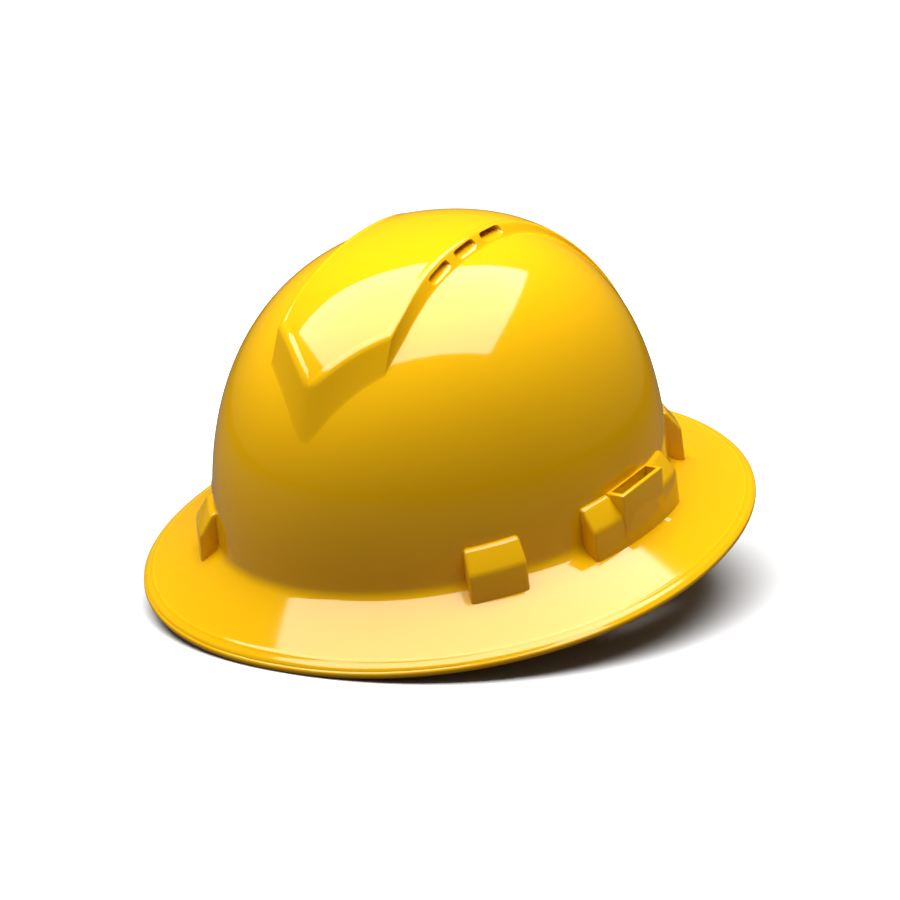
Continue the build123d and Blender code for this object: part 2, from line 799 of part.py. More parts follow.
def nape_pad():
    outer = base_inner - pad_gap
    pad = nape_sector(outer - nape_pad_thickness, outer, nape_pad_half_angle, -nape_pad_low, nape_pad_high)
    return fillet(pad.edges(), pad_round)


# The whole hat, tipped onto its front rim and its ratchet

pieces = {
    "hat_shell": hat_shell(),
    "headband": headband(),
    "brow_pad": brow_pad(),
    "crown_strap_upper": crown_strap(0, 1),
    "crown_strap_lower": crown_strap(1, -1),
    "nape_strap_left": nape_strap(left_inner, left_outer, 1, 1),
    "nape_strap_right": nape_strap(right_inner, right_outer, -1, -1),
    "strap_stud_left": strap_stud(left_outer, 1),
    "strap_stud_right": strap_stud(right_outer, -1),
    "ratchet_base": ratchet_base(),
    "ratchet_cover": ratchet_cover(),
    "pinion": pinion(),
    "adjuster_knob": adjuster_knob(),
    "knob_screw": knob_screw(),
    "detent_spring": detent_spring(),
    "nape_pad": nape_pad(),
}
for name, rear in (("front", False), ("rear", True)):
    key_left, key_right = both_sides(suspension_key(rear))
    pieces["key_" + name + "_left"] = key_left
    pieces["key_" + name + "_right"] = key_right

ratchet_bottom = nape_height - ratchet_half_height
ratchet_contact_back = nape_centre_back + base_inner * cos(radians(ratchet_half_angle))
front_contact_back = brim_centre_back - rim_half_length
rest_tilt = degrees(atan((rim_bottom - ratchet_bottom) / (ratchet_contact_back - front_contact_back)))
tipped = {name: Rot(rest_tilt, 0, 0) * piece for name, piece in pieces.items()}
bounds = Compound(children=[Compound(piece.solids()) for piece in tipped.values()]).bounding_box()
set_down = Pos(0, -bounds.center().Y, -bounds.min.Z)
for name, piece in tipped.items():
    solid = set_down * piece
    export_step(Compound(solid.solids()) if len(solid.solids()) > 1 else solid.solid(), "parts/" + name + ".step")

print("rest tilt", round(rest_tilt, 4), "degrees")
print("set down by", round(set_down.position.Y, 4), round(set_down.position.Z, 4))
print("nape axis back", nape_centre_back, "ratchet height", nape_height)
print("left ratio", pinion_pitch_radius / ((left_inner + left_outer) / 2))
print("right ratio", pinion_pitch_radius / ((right_inner + right_outer) / 2))
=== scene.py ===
import json
from math import acos, atan2, cos, hypot, pi, radians, sin, tau

import bpy
import numpy as np
from mathutils import Matrix, Vector


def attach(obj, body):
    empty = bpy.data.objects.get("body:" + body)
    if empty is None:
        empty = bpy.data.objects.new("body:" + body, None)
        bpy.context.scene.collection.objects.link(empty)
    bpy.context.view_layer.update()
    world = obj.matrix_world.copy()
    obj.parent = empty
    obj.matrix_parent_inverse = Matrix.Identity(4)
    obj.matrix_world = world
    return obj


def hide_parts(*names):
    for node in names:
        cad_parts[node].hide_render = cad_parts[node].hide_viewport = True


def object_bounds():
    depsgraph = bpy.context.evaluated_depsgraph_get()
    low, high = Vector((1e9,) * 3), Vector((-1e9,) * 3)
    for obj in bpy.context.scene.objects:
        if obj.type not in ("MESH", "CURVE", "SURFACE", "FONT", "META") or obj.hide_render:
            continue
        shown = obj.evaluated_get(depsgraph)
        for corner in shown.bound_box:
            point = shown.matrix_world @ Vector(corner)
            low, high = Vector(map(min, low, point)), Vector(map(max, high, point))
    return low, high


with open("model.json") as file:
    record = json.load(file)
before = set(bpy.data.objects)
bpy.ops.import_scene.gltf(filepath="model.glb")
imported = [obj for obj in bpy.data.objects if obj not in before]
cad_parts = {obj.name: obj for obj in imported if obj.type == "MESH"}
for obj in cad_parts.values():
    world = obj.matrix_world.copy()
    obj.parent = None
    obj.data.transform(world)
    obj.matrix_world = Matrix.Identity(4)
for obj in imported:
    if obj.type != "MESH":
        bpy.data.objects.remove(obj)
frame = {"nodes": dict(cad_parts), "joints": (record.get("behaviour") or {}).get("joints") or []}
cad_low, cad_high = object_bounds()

# Camera, table and studio light
# The hat stands on a white table that runs out of sight. One wide softbox hangs level over it, a long side
# toward the camera, and its outline shows as the pale reflections on the panel, the dome and the brim.

camera_place = (0.48680, -0.88189, 0.28869)
camera_turn = radians(29.01)
camera_drop = radians(12.53)
camera_lens_mm = 86.80
camera_sensor_mm = 36.0
camera_nearest = 0.05
table_size = 40
table_colour = (0.86, 0.86, 0.87)
table_roughness = 0.55
table_bounce_colour = (0.12, 0.10, 0.08)
shadow_middle = (0.06, 0.02, 0)
shadow_reach = 0.16
glow_full_reach = 0.75
room_colour = (1.0, 0.84, 0.64)
room_strength = 0.09
softbox_place = (-0.10, -0.13, 1.11)
softbox_turn = radians(39.5)
softbox_length = 1.70
softbox_width = 1.16
softbox_power = 37

bpy.ops.object.camera_add(location=camera_place, rotation=(pi / 2 - camera_drop, 0, camera_turn))
camera = bpy.context.object
camera.data.lens = camera_lens_mm
camera.data.sensor_width = camera_sensor_mm
camera.data.clip_start = camera_nearest
bpy.context.scene.camera = camera
bpy.context.scene.view_settings.view_transform = "Standard"


def new_material(name, colour, roughness):
    """A material with one Principled shader, and its node tree."""
    material = bpy.data.materials.new(name)
    material.use_nodes = True
    tree = material.node_tree
    shader = tree.nodes["Principled BSDF"]
    shader.inputs["Base Color"].default_value = (*colour, 1)
    shader.inputs["Roughness"].default_value = roughness
    return material, tree, shader


def seen_directly(tree):
    """A value that is 1 for the camera's rays and for rays through glass, and 0 for all others."""
    path = tree.nodes.new("ShaderNodeLightPath")
    total = tree.nodes.new("ShaderNodeMath")
    total.operation = "MAXIMUM"
    tree.links.new(path.outputs["Is Camera Ray"], total.inputs[0])
    tree.links.new(path.outputs["Is Transmission Ray"], total.inputs[1])
    return total.outputs[0]


def table_finish():
    """White to the eye, with a glow that grows beyond the hat's shadow, and a dim bounce on the hat."""
    material, tree, shader = new_material("white_table", table_colour, table_roughness)
    bounce = tree.nodes.new("ShaderNodeBsdfDiffuse")
    bounce.inputs["Color"].default_value = (*table_bounce_colour, 1)
    direct = seen_directly(tree)
    glow = tree.nodes.new("ShaderNodeEmission")
    place = tree.nodes.new("ShaderNodeTexCoord")
    away = tree.nodes.new("ShaderNodeVectorMath")
    away.operation = "DISTANCE"
    away.inputs[1].default_value = shadow_middle
    fade = tree.nodes.new("ShaderNodeMapRange")
    fade.interpolation_type = "SMOOTHSTEP"
    fade.inputs["From Min"].default_value = shadow_reach
    fade.inputs["From Max"].default_value = glow_full_reach
    tree.links.new(place.outputs["Object"], away.inputs[0])
    tree.links.new(away.outputs["Value"], fade.inputs["Value"])
    tree.links.new(fade.outputs["Result"], glow.inputs["Strength"])
    both = tree.nodes.new("ShaderNodeAddShader")
    mix = tree.nodes.new("ShaderNodeMixShader")
    tree.links.new(shader.outputs[0], both.inputs[0])
    tree.links.new(glow.outputs[0], both.inputs[1])
    tree.links.new(direct, mix.inputs[0])
    tree.links.new(bounce.outputs[0], mix.inputs[1])
    tree.links.new(both.outputs[0], mix.inputs[2])
    tree.links.new(mix.outputs[0], tree.nodes["Material Output"].inputs["Surface"])
    return material


def deselect():
    """Leaves nothing selected, as each new primitive needs."""
    bpy.ops.object.select_all(action="DESELECT")


deselect()
bpy.ops.mesh.primitive_plane_add(size=table_size, location=(0, 0, cad_low.z))
table = bpy.context.object
table.name = "table"
table.data.materials.append(table_finish())

world = bpy.data.worlds.new("studio")
bpy.context.scene.world = world
world.use_nodes = True
world_tree = world.node_tree
room = world_tree.nodes["Background"]
room.inputs["Color"].default_value = (*room_colour, 1)
room.inputs["Strength"].default_value = room_strength
white = world_tree.nodes.new("ShaderNodeBackground")
white.inputs["Color"].default_value = (1, 1, 1, 1)
room_mix = world_tree.nodes.new("ShaderNodeMixShader")
world_tree.links.new(seen_directly(world_tree), room_mix.inputs[0])
world_tree.links.new(room.outputs[0], room_mix.inputs[1])
world_tree.links.new(white.outputs[0], room_mix.inputs[2])
world_tree.links.new(room_mix.outputs[0], world_tree.nodes["World Output"].inputs["Surface"])

bpy.ops.object.light_add(type="AREA", location=softbox_place, rotation=(0, 0, softbox_turn))
softbox = bpy.context.object
softbox.name = "overhead_softbox"
softbox.data.shape = "RECTANGLE"
softbox.data.size = softbox_length
softbox.data.size_y = softbox_width
softbox.data.energy = softbox_power

# The shell: dome and brim
# One injection moulding in glossy yellow plastic, 2.5 mm thick, and 3 mm at the rim. The dome is egg-shaped,
# bends out at its foot into a full brim, and has a fine raised line just inside the rim.

brim_half_width = 0.139
brim_half_length = 0.160
brim_centre_back = 0.0085
brim_exponent = 2.087
rim_top = -0.0146
rim_bottom = -0.0176
rim_land = 0.0025
rim_round = 0.0012
rim_edge_start = 0.2
rim_edge_steps = 4
shell_wall = 0.0025
foot_radius = 0.006
foot_centre_height = 0.0048
foot_angle = radians(1.6)
dome_half_width = 0.1013
dome_front_reach = 0.131
dome_rear_reach = 0.115
dome_widest_back = 0.008
dome_height = 0.126
dome_lean = radians(1.97)
side_exponent = 2.48
rise_exponent = 2.31
outer_dome_steps = 72
inner_dome_steps = 48
outer_bend_steps = 8
inner_bend_steps = 6
slope_start_share = 0.02
turn_count = 240
top_insets = np.array([26, 20, 14, 10, 7.6, 6.0, 5.3, 5.0, 4.6, 4.2, 3.9, 3.2, 2.2, 1.5]) / 1000
line_heights = np.array([0, 0, 0, 0, 0, 0, 0, 0.11, 0.17, 0.11, 0, 0, 0, 0]) / 1000
under_insets = np.array([22, 15, 8, 0]) / 1000
weld_reach = 1e-5
fine_weld_reach = 1e-6
least_edge = 1e-7

# The suspension slides straight down in a worn hat, so its joint tells how the hat leans on the table.
release = next(joint for joint in frame["joints"] if joint["name"] == "suspension_release")
stand_place = Vector(release["pos_m"])
stand_turn = atan2(release["axis"][1], -release["axis"][2])
stand = Matrix.Translation(stand_place) @ Matrix.Rotation(stand_turn, 4, "X")
upright_dome = stand @ Matrix.Rotation(-dome_lean, 4, "X")


def moved(matrix, points):
    """Points, in an array whose last axis is x, y, z, moved by a matrix."""
    matrix = np.array(matrix)
    return points @ matrix[:3, :3].T + matrix[:3, 3]


def foot_point(turn, out=0.0):
    """A point of the dome's foot outline, moved outward."""
    reach = dome_front_reach if sin(turn) < 0 else dome_rear_reach
    return (dome_half_width + out) * cos(turn), dome_widest_back + (reach + out) * sin(turn)


def rim_point(turn, inset):
    """A point of the rim's outline, moved inward."""
    power = 2 / brim_exponent
    across = np.sign(cos(turn)) * abs(cos(turn)) ** power
    along = np.sign(sin(turn)) * abs(sin(turn)) ** power
    return (brim_half_width - inset) * across, brim_centre_back + (brim_half_length - inset) * along


def leaned(x, y, z):
    """A place in the upright dome, tipped by the dome's lean over the brim."""
    return x, y * cos(dome_lean) + z * sin(dome_lean), z * cos(dome_lean) - y * sin(dome_lean)


def dome_run(turn, depth, steps):
    """Points from the crown down to the foot, on the outer face or a depth inside it."""
    x, y = foot_point(turn, -depth)
    points = []
    for angle in np.linspace(pi / 2, foot_angle, steps):
        spread = cos(angle) ** (2 / side_exponent)
        height = sin(angle) ** (2 / rise_exponent) * (dome_height - depth)
        points.append(leaned(spread * x, dome_widest_back + spread * (y - dome_widest_back), height))
    return points


def brim_run(turn, depth, edge_inset, edge_height, bend_steps, slope_insets, slope_rises):
    """Points from the foot round the bend and out along the slope, at insets from the rim."""
    foot_x, foot_y, middle = leaned(*foot_point(turn), foot_centre_height)
    rim_x, rim_y = rim_point(turn, edge_inset)
    run = hypot(rim_x - foot_x, rim_y - foot_y)
    radius = foot_radius + depth
    span = hypot(run - foot_radius, middle - edge_height)
    touch = tau - atan2(middle - edge_height, run - foot_radius) - acos(radius / span)
    places = []
    for bend in np.linspace(pi, touch, bend_steps):
        places.append((foot_radius + radius * cos(bend), middle + radius * sin(bend)))
    start, start_height = places[-1]
    slope = (start_height - edge_height) / (run - start)
    for inset, rise in zip(slope_insets, slope_rises):
        out = max(run - inset, start + (run - start) * slope_start_share)
        places.append((out, edge_height + slope * (run - out) + rise))
    points = []
    for out, height in places:
        share = out / run
        points.append((foot_x + share * (rim_x - foot_x), foot_y + share * (rim_y - foot_y), height))
    return points


def rim_edge(turn):
    """Points round the rim's rounded edge, from its top face to its underside."""
    points = []
    for angle in np.linspace(rim_edge_start, pi / 2, rim_edge_steps):
        x, y = rim_point(turn, rim_round * (1 - sin(angle)))
        points.append((x, y, rim_top - rim_round * (1 - cos(angle))))
    for angle in np.linspace(0, pi / 2, rim_edge_steps):
        x, y = rim_point(turn, rim_round * (1 - cos(angle)))
        points.append((x, y, rim_bottom + rim_round * (1 - sin(angle))))
    x, y = rim_point(turn, rim_land)
    return points + [(x, y, rim_bottom)]


def shell_run(turn):
    """The shell's section at one turn: the outer face down, round the rim, and the inner face up."""
    top = dome_run(turn, 0, outer_dome_steps)
    top += brim_run(turn, 0, 0, rim_top, outer_bend_steps, top_insets, line_heights)
    under = dome_run(turn, shell_wall, inner_dome_steps)
    under += brim_run(turn, shell_wall, rim_land, rim_bottom, inner_bend_steps, under_insets,
                      0 * under_insets)
    return top + rim_edge(turn) + under[::-1]


def sheet_from(name, points):
    """A grid whose points are moved to an array of rows and columns of places."""
    rows, columns = points.shape[:2]
    deselect()
    bpy.ops.mesh.primitive_grid_add(x_subdivisions=columns - 1, y_subdivisions=rows - 1, size=2)
    piece = bpy.context.object
    piece.name = name
    piece.data.name = name
    spots = np.empty(rows * columns * 3)
    piece.data.vertices.foreach_get("co", spots)
    spots = spots.reshape(-1, 3)
    column = np.rint((spots[:, 0] + 1) / 2 * (columns - 1)).astype(int)
    row = np.rint((spots[:, 1] + 1) / 2 * (rows - 1)).astype(int)
    piece.data.vertices.foreach_set("co", points[row, column].ravel())
    piece.data.update()
    return piece


def pick(*pieces):
    """Selects these pieces alone, and makes the first one active."""
    deselect()
    for piece in pieces:
        piece.select_set(True)
    bpy.context.view_layer.objects.active = pieces[0]


def seal(piece, reach=weld_reach):
    """Joins the points that lie on each other and turns the faces outward."""
    pick(piece)
    bpy.ops.object.mode_set(mode="EDIT")
    bpy.ops.mesh.select_all(action="SELECT")
    bpy.ops.mesh.remove_doubles(threshold=reach)
    bpy.ops.mesh.dissolve_degenerate(threshold=least_edge)
    bpy.ops.mesh.normals_make_consistent(inside=False)
    bpy.ops.object.mode_set(mode="OBJECT")
    bpy.ops.object.shade_smooth()
    return piece


def close_ends(piece):
    """Puts a face on each open end of a tube."""
    pick(piece)
    bpy.ops.object.mode_set(mode="EDIT")
    bpy.ops.mesh.select_all(action="SELECT")
    bpy.ops.mesh.remove_doubles(threshold=fine_weld_reach)
    bpy.ops.mesh.dissolve_degenerate(threshold=least_edge)
    bpy.ops.mesh.select_all(action="DESELECT")
    bpy.ops.mesh.select_mode(type="EDGE")
    bpy.ops.mesh.select_non_manifold()
    bpy.ops.mesh.edge_face_add()
    bpy.ops.object.mode_set(mode="OBJECT")
    return seal(piece, fine_weld_reach)


shell_turns = np.linspace(0, tau, turn_count + 1)
shell_points = np.array([shell_run(turn) for turn in shell_turns])
shell_points[-1] = shell_points[0]
shell_body = seal(sheet_from("shell_body", moved(stand, shell_points)))

grain_height_share = 0.25
deep_colour_share = 0.93


def noise_group():
    """The faint waviness and roughness change that every moulded plastic face has."""
    group = bpy.data.node_groups.new("moulded_face", "ShaderNodeTree")
    for name in ("Wave Scale", "Grain Scale", "Roughness", "Change"):
        group.interface.new_socket(name, in_out="INPUT", socket_type="NodeSocketFloat")
    for name in ("Roughness", "Height"):
        group.interface.new_socket(name, in_out="OUTPUT", socket_type="NodeSocketFloat")
    nodes, links = group.nodes, group.links
    start = nodes.new("NodeGroupInput")
    end = nodes.new("NodeGroupOutput")
    place = nodes.new("ShaderNodeTexCoord")
    wave = nodes.new("ShaderNodeTexNoise")
    grain = nodes.new("ShaderNodeTexNoise")
    links.new(place.outputs["Object"], wave.inputs["Vector"])
    links.new(place.outputs["Object"], grain.inputs["Vector"])
    links.new(start.outputs["Wave Scale"], wave.inputs["Scale"])
    links.new(start.outputs["Grain Scale"], grain.inputs["Scale"])
    change = nodes.new("ShaderNodeMath")
    change.operation = "MULTIPLY_ADD"
    links.new(wave.outputs["Fac"], change.inputs[0])
    links.new(start.outputs["Change"], change.inputs[1])
    links.new(start.outputs["Roughness"], change.inputs[2])
    links.new(change.outputs[0], end.inputs["Roughness"])
    height = nodes.new("ShaderNodeMath")
    height.operation = "MULTIPLY_ADD"
    height.inputs[1].default_value = grain_height_share
    links.new(grain.outputs["Fac"], height.inputs[0])
    links.new(wave.outputs["Fac"], height.inputs[2])
    links.new(height.outputs[0], end.inputs["Height"])
    return group


moulded_face = noise_group()


def moulded_plastic(name, colour, roughness, change, wave_scale, grain_scale, relief):
    """Moulded plastic: its gloss and its face vary a little, and its colour drifts toward a deeper one."""
    material, tree, shader = new_material(name, colour, roughness)
    face = tree.nodes.new("ShaderNodeGroup")
    face.node_tree = moulded_face
    face.inputs["Wave Scale"].default_value = wave_scale
    face.inputs["Grain Scale"].default_value = grain_scale
    face.inputs["Roughness"].default_value = roughness
    face.inputs["Change"].default_value = change
    tree.links.new(face.outputs["Roughness"], shader.inputs["Roughness"])
    bump = tree.nodes.new("ShaderNodeBump")
    bump.inputs["Strength"].default_value = 1.0
    bump.inputs["Distance"].default_value = relief
    tree.links.new(face.outputs["Height"], bump.inputs["Height"])
    tree.links.new(bump.outputs["Normal"], shader.inputs["Normal"])
    drift = tree.nodes.new("ShaderNodeMix")
    drift.data_type = "RGBA"
    drift.inputs["A"].default_value = (*colour, 1)
    drift.inputs["B"].default_value = (*[part * deep_colour_share for part in colour], 1)
    tree.links.new(face.outputs["Height"], drift.inputs["Factor"])
    tree.links.new(drift.outputs["Result"], shader.inputs["Base Color"])
    return material


shell_yellow = moulded_plastic("shell_yellow", (0.87, 0.47, 0.003), roughness=0.06, change=0.02,
                               wave_scale=22.0, grain_scale=700.0, relief=0.000012)
shell_body.data.materials.append(shell_yellow)

# The crown panel
# A raised panel of the same moulding: a pointed front that faces forward, side walls that carry the vents,
# and two wings that widen over the rear and fade into the dome. Its top edge is rounded, with a fine lip.

panel_rise = 0.0045
panel_forward = 0.0025
panel_sink = 0.0002
crease_ease = 0.0008
dome_edge_share = 0.9999

# Each row holds x and y of the wall's foot, x and y of its top edge, and y of the middle line's point.
panel_tip = (0.0, -0.1106, 0.0, -0.1023, -0.1023)
panel_sides = (
    (0.0284, -0.0873, 0.0285, -0.0790, -0.0640),
    (0.0305, -0.0740, 0.0288, -0.0670, -0.0540),
    (0.0311, -0.0610, 0.0283, -0.0560, -0.0440),
    (0.0312, -0.0456, 0.0277, -0.0430, -0.0320),
    (0.0318, -0.0280, 0.0275, -0.0270, -0.0180),
    (0.0322, -0.0080, 0.0279, -0.0080, 0.0000),
    (0.0330, 0.0120, 0.0286, 0.0120, 0.0200),
    (0.0344, 0.0330, 0.0305, 0.0320, 0.0400),
    (0.0371, 0.0480, 0.0345, 0.0475, 0.0570),
    (0.0430, 0.0620, 0.0415, 0.0615, 0.0720),
    (0.0540, 0.0700, 0.0532, 0.0698, 0.0850),
    (0.0660, 0.0760, 0.0655, 0.0760, 0.0960),
    (0.0710, 0.0795, 0.0706, 0.0795, 0.1010),
)
front_steps = 26
side_steps = (12, 12, 14, 16, 18, 18, 18, 14, 12, 10, 8, 8)
tip_round_share = 0.16
edge_round = 0.0016
foot_round = 0.0012
embed = 0.0012
skirt_drop = 0.0003
lip_rise = 0.0004
lip_fade_end = 0.055
lip_fade_length = 0.04
lip_edge_share = 0.8
under_count = 16
wall_count = 5
flat_count = 26
foot_curve_count = 5
edge_curve_count = 6
crowding_power = 1.7
melt_rows = 14
melt_depth = 0.0004
least_length = 1e-9

# Each place of the lip is a distance in from the top edge, and a share of the lip's height.
lip_profile = ((0.0013, 1.0), (0.0019, 0.9), (0.0025, 0.55), (0.0031, 0.2), (0.0037, 0.0))


def surface_height(x, y):
    """The dome's height over a place, in the dome's own frame."""
    reach = np.where(y < dome_widest_back, dome_front_reach, dome_rear_reach)
    span = np.hypot(x / dome_half_width, (y - dome_widest_back) / reach)
    return dome_height * (1 - np.minimum(span, dome_edge_share) ** side_exponent) ** (1 / rise_exponent)


def panel_height(x, y):
    """The panel's height over a place; toward the rear it melts into the dome."""
    base = surface_height(x, y)
    extra = surface_height(x, y + panel_forward) + panel_rise - base
    return base + (extra + np.sqrt(extra ** 2 + crease_ease ** 2)) / 2 - panel_sink


def smooth_rows(rows, counts):
    """Rows of numbers with more rows between them, along a smooth curve through all of them."""
    rows = np.array(rows, float)
    slopes = np.gradient(rows, axis=0)
    made = []
    for index, count in enumerate(counts):
        start, end = rows[index], rows[index + 1]
        leave = slopes[index] - (end - start)
        arrive = slopes[index + 1] - (end - start)
        for share in np.arange(count) / count:
            bulge = leave * (1 - share) - arrive * share
            made.append(start + (end - start) * share + share * (1 - share) * bulge)
    made.append(rows[-1])
    return np.array(made)


def front_row(share):
    """A row of the pointed front, from the tip to the corner; the top edge's tip is rounded."""
    bend = (hypot(share, tip_round_share) - tip_round_share) / (hypot(1, tip_round_share) - tip_round_share)
    tip, corner = np.array(panel_tip), np.array(panel_sides[0])
    return tip + (corner - tip) * np.array([share, bend, share, bend, share])


def within_one(value):
    """The value, held between 0 and 1."""
    return min(1.0, max(0.0, value))


def ease(share):
    """A share that leaves 0 and reaches 1 gently."""
    return share * share * (3 - 2 * share)


def corner_curve(start, corner, end, steps):
    """Points of the smooth curve that rounds a corner."""
    return [(1 - share) ** 2 * start + 2 * share * (1 - share) * corner + share ** 2 * end
            for share in np.linspace(0, 1, steps)]


def toward(start, end, distance):
    """A place that far from start toward end, and no further than half way."""
    span = np.linalg.norm(end - start)
    return start + (end - start) * min(0.5, distance / max(span, least_length))


def on_panel(place, rise=0.0):
    """A place on the panel's top face, or that far above it."""
    return np.array([place[0], place[1], float(panel_height(place[0], place[1])) + rise])


def on_dome(place, drop=0.0):
    """A place on the dome's outer face, or that far below it."""
    return np.array([place[0], place[1], float(surface_height(place[0], place[1])) - drop])


def panel_half(row):
    """Half of the panel's section: from its middle under the dome's face, out, up the wall and back in."""
    foot = on_dome(row[0:2])
    lip_height = within_one((lip_fade_end - row[1]) / lip_fade_length) * lip_rise
    top = on_panel(row[2:4], lip_height * lip_edge_share)
    spine = np.array([0.0, max(row[4], top[1]), 0.0])
    outward = foot[:2] - spine[:2]
    outward = outward / max(np.linalg.norm(outward), least_length)
    skirt = on_dome(foot[:2] + outward * foot_round, skirt_drop)
    under_shares = 1 - (1 - np.linspace(0, 1, under_count)) ** crowding_power
    under = [on_dome(spine[:2] * (1 - share) + foot[:2] * share, embed) for share in under_shares]
    rise = toward(foot, top, foot_round)
    shoulder = toward(top, foot, edge_round)
    wall = [rise + (shoulder - rise) * share for share in np.linspace(0, 1, wall_count + 2)[1:-1]]
    lip = []
    for distance, share in lip_profile:
        spot = toward(top[:2], spine[:2], distance)
        reached = min(1.0, np.linalg.norm(spot - top[:2]) / distance)
        lip.append(on_panel(spot, lip_height * (share * reached + lip_edge_share * (1 - reached))))
    inner = lip[-1][:2]
    flat_shares = np.linspace(0, 1, flat_count + 1)[1:] ** crowding_power
    flat = [on_panel(inner * (1 - share) + spine[:2] * share) for share in flat_shares]
    points = under + corner_curve(skirt, foot, rise, foot_curve_count) + wall
    return points + corner_curve(shoulder, top, lip[0], edge_curve_count) + lip[1:] + flat


front_rows = [front_row(share) for share in np.arange(front_steps) / front_steps]
outline_rows = front_rows + list(smooth_rows(panel_sides, side_steps))
right_half = np.array([panel_half(row) for row in outline_rows])
for count in range(melt_rows):
    row = right_half[count - melt_rows]
    keep = ease((melt_rows - 1 - count) / melt_rows)
    level = surface_height(row[:, 0], row[:, 1]) - melt_depth
    row[under_count:, 2] = level[under_count:] + (row[under_count:, 2] - level[under_count:]) * keep
left_half = right_half * np.array([-1, 1, 1])
panel_points = np.concatenate([left_half, right_half[:, ::-1]], axis=1)
crown_panel = close_ends(sheet_from("crown_panel", moved(upright_dome, panel_points)))
crown_panel.data.materials.append(shell_yellow)

# The vents
# Three slots in each side wall of the panel let air out through the shell. Each is 17 mm long with round ends
# and a flared mouth, and is cut through the panel and the dome together.

vent_count = 3
vent_length = 0.017
vent_height = 0.0031
vent_pitch = 0.0235
vent_middle_forward = 0.013
vent_line_x = 0.0305
vent_lift = 0.0029
vent_start = 0.014
vent_mouth = 0.0283
vent_end = 0.0330
vent_flare = 0.30
vent_flare_along_share = 0.8
vent_end_power = 0.35
vent_side_power = 0.5
vent_loop_count = 24
smooth_angle = radians(35)


def apply_modifier(piece, kind, **settings):
    """Adds a modifier with these settings and applies it."""
    pick(piece)
    modifier = piece.modifiers.new(kind.lower(), kind)
    for name, value in settings.items():
        setattr(modifier, name, value)
    bpy.ops.object.modifier_apply(modifier=modifier.name)


def vent_cutter(number, side):
    """The room of one vent, straight inside and flared at its mouth."""
    y = -vent_middle_forward + (number - (vent_count - 1) / 2) * vent_pitch
    half = vent_length / 2
    rise = surface_height(vent_line_x, y + half) - surface_height(vent_line_x, y - half)
    loop = []
    for angle in np.linspace(0, tau, vent_loop_count, endpoint=False):
        along = np.sign(cos(angle)) * abs(cos(angle)) ** vent_end_power * half
        up = np.sign(sin(angle)) * abs(sin(angle)) ** vent_side_power * vent_height / 2
        loop.append((along, up))
    rows = [[(vent_start, 0, 0)] * len(loop)]
    for x, wider in ((vent_start, 0), (vent_mouth, 0), (vent_end, vent_flare * (vent_end - vent_mouth))):
        longer = 1 + wider / half * vent_flare_along_share
        higher = 1 + wider / (vent_height / 2)
        rows.append([(x, along * longer, up * higher) for along, up in loop])
    rows.append([(vent_end, 0, 0)] * len(loop))
    points = np.array(rows)
    points = np.concatenate([points, points[:, :1]], axis=1)
    middle = Vector((0, y, float(surface_height(vent_line_x, y)) + vent_lift))
    place = Matrix.Translation(middle) @ Matrix.Rotation(atan2(float(rise), vent_length), 4, "X")
    points = moved(place, points) * np.array([side, 1, 1])
    return seal(sheet_from("vent_room", moved(upright_dome, points)))


def joined(pieces, name):
    """Several meshes as one."""
    pick(*pieces)
    bpy.ops.object.join()
    pieces[0].name = name
    pieces[0].data.name = name
    return pieces[0]


def cut_out(room_piece, pieces):
    """Cuts a room out of these pieces, and then takes it away."""
    for piece in pieces:
        apply_modifier(piece, "BOOLEAN", operation="DIFFERENCE", solver="EXACT", object=room_piece)
    bpy.data.objects.remove(room_piece)


def smooth_by_angle(piece):
    """Shades a piece smooth, apart from its sharp edges."""
    pick(piece)
    bpy.ops.object.shade_smooth_by_angle(angle=smooth_angle)


vent_rooms = [vent_cutter(number, side) for number in range(vent_count) for side in (1, -1)]
cut_out(joined(vent_rooms, "vent_rooms"), (crown_panel, shell_body))
smooth_by_angle(crown_panel)
smooth_by_angle(shell_body)

# The lugs
# Six thickenings at the dome's foot, part of the moulding, with sloped tops and softly rounded edges. The two
# at the sides hold an accessory slot each, and the other four have a pocket that takes a suspension key.

lug_angle = 52.6
lug_width = 0.026
lug_reach = 0.0092
lug_top = 0.0215
lug_foot = 0.009
side_lug_length = 0.076
side_lug_middle = -0.005
lug_profile_shares = ((1.0, -1.0), (0.86, 0.57), (0.12, 1.0), (-0.27, 1.0), (-0.27, -1.0))
lug_row_count = 15
lug_edge_round = 0.0016
lug_round_steps = 4
lug_sharp_angle = radians(18)
pocket_start = 0.0003
pocket_depth = 0.0049
pocket_width = 0.0206
pocket_top = 0.014
cut_bottom = -0.03
block_round_steps = 3
hands = (("left", 1), ("right", -1))


def normal_turn(angle, rear):
    """The turn of the foot point whose outward normal is that far from straight ahead or straight back."""
    reach = dome_rear_reach if rear else dome_front_reach
    across = dome_half_width * sin(radians(angle))
    along = reach * cos(radians(angle))
    return atan2(along if rear else -along, across)


